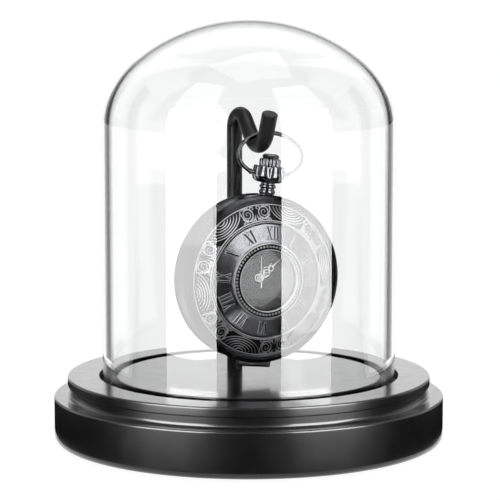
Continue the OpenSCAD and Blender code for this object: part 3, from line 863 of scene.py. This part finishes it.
def build_cover():
    """Shell of the front cover with its banded rim, and the two outer hinge barrels."""
    inner = 8.4
    profile = [(21.3, 2.5), (23.3, 2.5), (COVER_R, 2.65)]
    profile += arc(23.05, 2.9, 0.45, 0, 75, 6)
    profile += [(22.9, 3.5), (22.45, 3.66), (22.32, 3.55), (22.2, 3.42), (22.05, 3.42), (21.95, 3.55)]
    profile += arc(21.6, 3.62, 0.36, 10, 120, 6)
    profile += [(21.2, 3.78), (21.1, 3.7), (16.45, 5.25), (16.4, 5.45)]
    profile += arc(16.2, 5.5, 0.2, 0, 120, 5)
    profile += [(16.05, 5.5), (16.0, 5.58)] + arc(15.87, 5.62, 0.13, 30, 150, 4)
    profile += [(15.74, 5.5), (15.74, 5.05), (10.55, 6.35), (8.95, 6.35), (8.95, 5.75), (inner, 5.75)]
    profile += [(inner, 5.35), (15.6, 4.1), (20.9, 2.95)]
    parts = Collected()
    parts.add(*lathe_mesh(profile, 256))
    for x_from, x_to in ((-5.0, -2.45), (2.45, 5.0)):
        knuckle(parts, x_from, x_to, HINGE_Z + 0.1, HINGE_Z + KNUCKLE_R, -22.5)
    shell = parts.piece("cover_shell", WATCH)
    finish_piece(shell, "cover", GUNMETAL, ["front_cover"])
    colour_band(shell, COVER_GROUND, 16.5, 21.0, lambda r: cover_height(r) - 0.3)


# ---- numeral ring, beads and window ----

NUMERALS = ["XII", "I", "II", "III", "IIII", "V", "VI", "VII", "VIII", "IX", "X", "XI"]
THICK, THIN, SERIF = 0.56, 0.3, 0.26


def glyph(letter, height):
    """Width, strokes and serifs of a letter. A stroke is (x0, y0, x1, y1, width), a serif (x, half width)."""
    if letter == "I":
        return 1.06, [(0.53, 0, 0.53, height, THICK)], [(0.53, 0.48)]
    if letter == "V":
        strokes = [(0.45, height, 1.05, 0, THICK), (1.65, height, 1.05, 0, THIN)]
        return 2.1, strokes, [(0.45, 0.44), (1.65, 0.4)]
    strokes = [(0.45, height, 1.75, 0, THICK), (1.75, height, 0.45, 0, THIN)]
    return 2.2, strokes, [(0.45, 0.44), (1.75, 0.44)]


def numeral_bars(text, height, scale):
    """Bars of a whole numeral, centred: (x0, y0, x1, y1, width)."""
    bars = []
    x = 0
    for letter in text:
        advance, strokes, serifs = glyph(letter, height)
        bars += [(x + a, b, x + c, d, w) for a, b, c, d, w in strokes]
        for centre, half in serifs:
            bars.append((x + centre - half, height, x + centre + half, height, SERIF))
            if letter != "V":
                bars.append((x + centre - half, 0, x + centre + half, 0, SERIF))
        x += advance
    return [((a - x / 2) * scale, b, (c - x / 2) * scale, d, w) for a, b, c, d, w in bars]


def raised_bar(parts, bar, place, lift):
    """A straight bar with chamfered top edges. place(x, y, lift) puts it on its surface."""
    x0, y0, x1, y1, width = bar
    ahead = np.array([x1 - x0, y1 - y0])
    length = np.linalg.norm(ahead)
    ahead = ahead / length
    across = np.array([-ahead[1], ahead[0]])
    start, end = np.array([x0, y0]), np.array([x1, y1])
    ease = min(0.1, width * 0.28)
    pieces = max(1, int(length / 0.8))
    half = ((-1, 0, -0.05), (-1, 0, lift - ease), (-1, 1, lift))
    section = half + tuple((-side, t, h) for side, t, h in half[::-1])
    rows = []
    for i in range(pieces + 1):
        p = start + (end - start) * i / pieces
        trim = ahead * ease * ((i == 0) - (i == pieces))
        rows.append([place(*(p + trim * t + across * k * (width / 2 - ease * t)), h) for k, t, h in section])
    parts.sweep(rows, wrap=False, flip=True)


def build_numerals(name, body, tops, edges, height_at, r_foot, height, scale, lift):
    """Raised Roman numerals round the watch, with one material on their tops and another on their bevels."""
    parts = Collected()
    is_top = []
    for hour, text in enumerate(NUMERALS):
        turn = -2 * math.pi * hour / 12

        def place(x, y, up, turn=turn):
            px, py = spin((x, r_foot + y), turn)
            return (px, py, height_at(math.hypot(px, py)) + up)

        for bar in numeral_bars(text, height, scale):
            before = len(parts.faces)
            raised_bar(parts, bar, place, lift)
            added = len(parts.faces) - before
            is_top += [i % 5 == 2 and i < added - 2 for i in range(added)]
    piece = finish_piece(parts.piece(name, WATCH, sharp=25), body, edges)
    piece.data.materials.append(tops)
    piece.data.polygons.foreach_set("material_index", [int(t) for t in is_top])


RING_IN, RING_OUT = 10.6, 15.7
RING_TOP, RING_FOOT = 6.83, 5.5


def numeral_ring_height(r):
    return RING_FOOT + (RING_OUT - r) * (RING_TOP - RING_FOOT) / (RING_OUT - RING_IN)


def build_numeral_ring():
    line = [(RING_OUT, 5.05), (RING_OUT, 5.44), (RING_OUT - 0.08, 5.52)]
    line += [(r, numeral_ring_height(r)) for r in np.linspace(RING_OUT - 0.2, RING_IN + 0.2, 9)]
    line += [(RING_IN + 0.08, 6.79), (RING_IN, 6.72), (RING_IN, 6.38)]
    ring = lathe("numeral_ring_disc", line, 220, WATCH)
    finish_piece(ring, "cover", RING_METAL, ["numeral_ring"])
    build_numerals("cover_numerals", "cover", NUMERAL_BLACK, SILVER_LINE, numeral_ring_height,
                   r_foot=11.5, height=3.4, scale=0.9, lift=0.16)


def build_beads():
    """Bezel with two bright rims, and the row of beads in the channel between them."""
    top = 7.2
    row_r = 9.5
    rim_in, rim_out = row_r - 0.78, row_r + 0.78
    profile = [(8.5, 6.38), (10.5, 6.38), (10.5, 6.95)]
    profile += arc(rim_out, 6.97, 0.22, 0, 130, 8)
    profile += arc(row_r, 7.15, 0.62, -10, -170, 12)
    profile += arc(rim_in, 6.97, 0.22, 50, 180, 8)
    bezel = lathe("bezel_channel", profile, 220, WATCH)
    finish_piece(bezel, "cover", SILVER_LINE, ["bead_bezel"])
    colour_band(bezel, COVER_GROUND, rim_in, rim_out, lambda r: 6.5)
    count, r_bead = 62, 0.35
    cap = arc(0, top - 0.02 - r_bead, r_bead, -15, 90, 4)
    bead, faces = lathe_mesh([(0, cap[0][1])] + cap, 10)
    beads = Collected()
    for cx, cy in circle_line(row_r, count):
        beads.add([(cx + x, cy + y, z) for x, y, z in bead], faces)
    finish_piece(beads.piece("bezel_beads", WATCH, sharp=60), "cover", SILVER_LINE)


def crystal(name, r, z_low, z_high, crown, body, node):
    """A thin watch glass, slightly domed on top."""
    dome = [(r * t, z_high - crown * t * t) for t in np.linspace(0.96, 0, 12)]
    profile = [(0, z_low), (r - 0.1, z_low), (r, z_low + 0.08), (r, z_high - crown - 0.08)] + dome
    piece = lathe(name, profile, 160, WATCH, sharp=60)
    finish_piece(piece, body, CRYSTAL, [node])


# ---- dial and hands ----

DIAL_FRONT = 0.85


def build_dial():
    hole, r = 0.85, radius_of("dial")
    profile = [(hole, 0.55), (r - 0.1, 0.55), (r, 0.62), (r, DIAL_FRONT - 0.08), (r - 0.08, DIAL_FRONT)]
    profile += [(hole + 0.05, DIAL_FRONT), (hole, DIAL_FRONT - 0.05)]
    disc = lathe("dial_disc", profile, 200, WATCH)
    finish_piece(disc, "watch", DIAL, ["dial"])

    def flat(x, y, lift):
        return (x, y, DIAL_FRONT + lift)

    marks = Collected()
    for minute in range(60):
        turn = 2 * math.pi * minute / 60
        long = minute % 5 == 0
        inner = 17.3 if long else 17.8
        ends = [spin((0, inner), turn), spin((0, 18.5), turn)]
        raised_bar(marks, (*ends[0], *ends[1], 0.22 if long else 0.1), flat, 0.06)
    for r_ring in (17.05, 18.7):
        ribbon(marks, circle_line(r_ring, 160), 0.09, 0.05, flat, closed=True)
    finish_piece(marks.piece("dial_marks", WATCH, sharp=25), "watch", SILVER_LINE)
    build_numerals("dial_numerals", "watch", SILVER_LINE, SILVER_LINE, lambda r: DIAL_FRONT,
                   r_foot=12.7, height=3.6, scale=0.85, lift=0.06)


def hand_angle(node):
    """The angle of a hand from 12 o'clock, clockwise, as its CAD node lies."""
    vertices = frame["nodes"][node].data.vertices
    inverse = WATCH.inverted()
    far = max((inverse @ v.co for v in vertices), key=lambda p: math.hypot(p.x, p.y))
    return math.atan2(far.x, far.y)


class Hand(Collected):
    """A hand drawn pointing to 12 o'clock and turned to where its CAD node lies."""

    def __init__(self, node, z, thick=0.2):
        super().__init__()
        self.node, self.z, self.thick = node, z, thick
        self.turn = -hand_angle(node)

    def strip(self, line, width, closed=False, taper=None):
        """A flat, chamfered strip along a 2-D line."""
        t = self.thick
        section = ((-1, 0), (-1, t * 0.6), (-0.6, t), (0.6, t), (1, t * 0.6), (1, 0))
        rows = []
        for p, side, _ in sideways(line, width, closed, taper):
            rows.append([(*spin(p + side * k, self.turn), self.z + h) for k, h in section])
        self.sweep(rows, closed=closed, flip=True)

    def pipe(self, r_out, r_in, z_low, z_high):
        """The hand's pipe, open through."""
        self.add(*lathe_mesh([(r_in, z_low), (r_out, z_low), (r_out, z_high), (r_in, z_high)], 32))

    def finish(self, style):
        piece = self.piece(self.node + "_" + style, WATCH, sharp=30)
        finish_piece(piece, self.node, HAND_SILVER, [self.node])


def spade_taper(t):
    """Swells to a spade, then runs out to a point."""
    return 0.3 + 0.7 * math.sin(math.pi * min(1, t * 1.3)) if t < 0.7 else 0.8 - 0.76 * t


def build_hands():
    hour = Hand("hour_hand", 1.1)
    hour.strip(circle_line(0.82, 28), 0.5, closed=True)
    for side in (-1, 1):
        curl = spiral(side * 0.66, 1.6, 0.55, 0.12, 90 - side * 180, side, 20)
        hour.strip(curl, 0.24, taper=tail_taper)
        hour.strip(bezier((0, 2.2), (side * 1.3, 2.5), (side * 1.3, 3.5), (0, 3.8)), 0.26)
    hour.strip([(0, 0.7), (0, 1.5), (0, 2.2)], 0.3)
    hour.strip([(0, 3.6), (0, 3.95), (0, 4.4), (0, 5.4)], 0.85, taper=spade_taper)
    hour.pipe(0.7, 0.47, -0.6, 1.3)
    hour.finish("scroll")

    minute = Hand("minute_hand", 1.45)
    minute.strip(circle_line(0.58, 28), 0.3, closed=True)
    minute.strip(circle_line(0.95, 28, -0.75, -0.4), 0.32, closed=True)
    for side in (-1, 1):
        minute.strip(bezier((0, 1.1), (side * 1.35, 1.7), (side * 1.2, 3.0), (0, 3.2)), 0.25)
        minute.strip(bezier((0, 3.2), (side * 1.0, 3.6), (side * 0.9, 4.6), (0, 4.9)), 0.24)
    minute.strip([(0, 0.5), (0, 0.8), (0, 1.15)], 0.3)
    minute.strip([(0, 4.6), (0, 5.2), (0, 6.3), (0, 7.9)], 0.5, taper=lambda t: 1.0 - 0.93 * t)
    minute.pipe(0.4, 0.22, -0.9, 1.65)
    minute.finish("scroll")

    second = Hand("second_hand", 1.8, 0.15)
    z = second.z
    second.strip([(0, -2.6), (0, -1.2), (0, 0), (0, 3), (0, 6.3)], 0.4, taper=lambda t: 1.0 - 0.62 * t)
    second.add(*lathe_mesh([(0, -1.2), (0.15, -1.2), (0.15, z), (0.42, z), (0.45, z + 0.1), (0.35, z + 0.16),
                            (0, z + 0.18)], 32))
    second.finish("needle")


# ---- CAD nodes that stay ----

def finish_cad_nodes():
    """Better materials for the hidden pieces that keep their CAD shape."""
    kept = {
        "base_screws": ZINC, "hook_washer": ZINC, "hook_nut": ZINC, "hinge_pin": WIRE_METAL,
        "movement": BRASS, "movement_spacer": SPACER, "battery": ZINC, "winding_stem": ZINC,
    }
    for node, material in kept.items():
        slots = frame["nodes"][node].material_slots
        for s in slots:
            s.material = material


# ---- studio ----

CAMERA_AZIMUTH = math.radians(-24.6)
CAMERA_ELEVATION = math.radians(6.12)
CAMERA_DISTANCE = 0.56
CAMERA_TARGET = Vector((0, 0, 0.061))


def make_camera():
    data = bpy.data.cameras.new("camera")
    data.lens = 143.1
    data.sensor_width = 36
    data.shift_x = 0.0026
    data.shift_y = -0.0504
    data.clip_start = 0.01
    camera = bpy.data.objects.new("camera", data)
    away = Vector((math.sin(CAMERA_AZIMUTH) * math.cos(CAMERA_ELEVATION),
                   -math.cos(CAMERA_AZIMUTH) * math.cos(CAMERA_ELEVATION), math.sin(CAMERA_ELEVATION)))
    camera.location = CAMERA_TARGET + CAMERA_DISTANCE * away
    camera.rotation_euler = away.to_track_quat("Z", "Y").to_euler()
    bpy.context.scene.collection.objects.link(camera)
    bpy.context.scene.camera = camera


def make_floor():
    """A wide pale floor, bright enough to read as the white sweep of a product photograph."""
    half = 4.0
    corners = [(-half, -half, 0), (half, -half, 0), (half, half, 0), (-half, half, 0)]
    floor = new_object("floor", corners, [[0, 1, 2, 3]])
    s = Shader("floor_white", Base_Color=(0.35, 0.35, 0.35, 1), Roughness=0.9, Specular_IOR_Level=0.0,
               Emission_Color=(1, 1, 1, 1), Emission_Strength=0.94)
    floor.data.materials.append(s.material)


def area_light(name, azimuth, distance, height, size, radiance, inside):
    """A soft box that faces the jar's axis. Azimuth is from the camera's, to its right, in degrees.

    inside: seen only through the glass, by what lies under it. Otherwise only by reflections on jar and base.
    """
    data = bpy.data.lights.new(name, "AREA")
    data.shape = "RECTANGLE"
    data.size, data.size_y = size
    data.energy = radiance * math.pi * size[0] * size[1]
    light = bpy.data.objects.new(name, data)
    a = CAMERA_AZIMUTH + math.radians(azimuth)
    light.location = (distance * math.sin(a), -distance * math.cos(a), height)
    level = Vector((-light.location.x, -light.location.y, 0))
    aim = level if level.length > 0.1 else Vector((0, 0, -1))
    light.rotation_euler = aim.to_track_quat("-Z", "Y").to_euler()
    light.visible_camera = False
    light.visible_glossy = not inside
    light.visible_diffuse = False
    light.visible_transmission = inside
    bpy.context.scene.collection.objects.link(light)


def make_world():
    """A backdrop, bright behind the jar with a dark ring round that and dark behind the camera."""
    world = bpy.data.worlds.new("studio")
    bpy.context.scene.world = world
    world.use_nodes = True
    nodes = Nodes(world.node_tree)
    background = nodes.tree.nodes["Background"]
    place = nodes.node("ShaderNodeTexCoord").outputs["Generated"]
    along = nodes.node("ShaderNodeVectorMath", operation="DOT_PRODUCT")
    nodes.link(place, along.inputs[0])
    along.inputs[1].default_value = (-math.sin(CAMERA_AZIMUTH), math.cos(CAMERA_AZIMUTH), 0)
    levels = ((0.0, 0.02), (0.5, 0.04), (0.7, 0.3), (0.84, 0.6), (0.89, 0.12), (0.945, 0.12), (0.965, 0.76),
              (1.0, 0.76))
    spread = nodes.range(along.outputs["Value"], 0, 1, -1, 1)
    sweep = nodes.colours(spread, *((position, (level,) * 3) for position, level in levels))
    nodes.link(sweep, background.inputs["Color"])
    height = nodes.node("ShaderNodeSeparateXYZ")
    nodes.link(place, height.inputs["Vector"])
    nodes.link(nodes.range(height.outputs["Z"], 1.35, 1.8, 0.05, 0.09), background.inputs["Strength"])


def make_lights():
    for side, name in ((-38.6, "left"), (39, "right")):
        area_light("softbox_" + name, side, 0.1316, 0.0755, (0.085, 0.125), 16.0, inside=False)
        area_light("skirt_" + name, side, 0.1316, 0.0065, (0.085, 0.013), 5.5, inside=False)
    area_light("fill_left", -40, 0.12, 0.15, (0.07, 0.2), 3.2, inside=True)
    area_light("fill_right", 39, 0.12, 0.1265, (0.075, 0.207), 3.2, inside=True)
    area_light("overhead", 30, 0.05, 0.55, (0.3, 0.3), 2.0, inside=True)


def card(name, start, end, edges, seen_by, steps):
    """A black card that only the named kinds of ray see, swept round the jar's axis.

    start and end are degrees from the camera's azimuth. edges has the (radius, height) of both long edges.
    """
    points = []
    for angle in np.linspace(start, end, steps + 1):
        a = CAMERA_AZIMUTH + math.radians(angle)
        points += [(r * math.sin(a), -r * math.cos(a), z) for r, z in edges]
    made = new_object(name, points, [[2 * i, 2 * i + 1, 2 * i + 3, 2 * i + 2] for i in range(steps)])
    made.data.materials.append(CARD_BLACK)
    made.visible_camera = False
    made.visible_glossy = "glossy" in seen_by
    made.visible_transmission = "transmission" in seen_by
    made.visible_diffuse = False
    made.visible_shadow = False


def make_cards():
    """Black cards that only reflections and glass see: they keep gloss dark and outline the glass."""
    both = ("glossy", "transmission")
    floor_in, floor_z, foot_z = PLINTH_R * MM + 0.0035, 0.0006, 0.001
    card("flag_front", -25.5, 25.5, ((0.24, foot_z), (0.24, 0.32)), both, 12)
    card("flag_floor", -95, 95, ((floor_in, floor_z), (0.9, floor_z)), both, 24)
    for side, name in ((-1, "left"), (1, "right")):
        sector = ((floor_in, floor_z), (0.15, floor_z))
        upright = ((0.15, foot_z), (0.15, 0.3))
        card("flag_floor_" + name, side * 95, side * 165, sector, ("glossy",), 24)
        card("flag_" + name, 180 + side * 38, 180 + side * 58, upright, ("transmission",), 12)


def set_look():
    scene = bpy.context.scene
    scene.view_settings.view_transform = "Standard"
    scene.cycles.max_bounces = 18
    scene.cycles.transmission_bounces = 18
    scene.cycles.glossy_bounces = 8


make_camera()
make_floor()
make_world()
make_lights()
make_cards()
set_look()
build_base()
build_felts()
build_glass()
build_hook()
build_bow()
build_pendant()
build_crown()
build_case()
build_back()
build_cover()
build_scrolls()
build_numeral_ring()
build_beads()
crystal("window_crystal", 8.9, 5.75, 6.35, 0.12, "cover", "cover_crystal")
crystal("inner_crystal", 20.35, 2.1, 2.8, 0.15, "watch", "dial_crystal")
build_dial()
build_hands()
finish_cad_nodes()
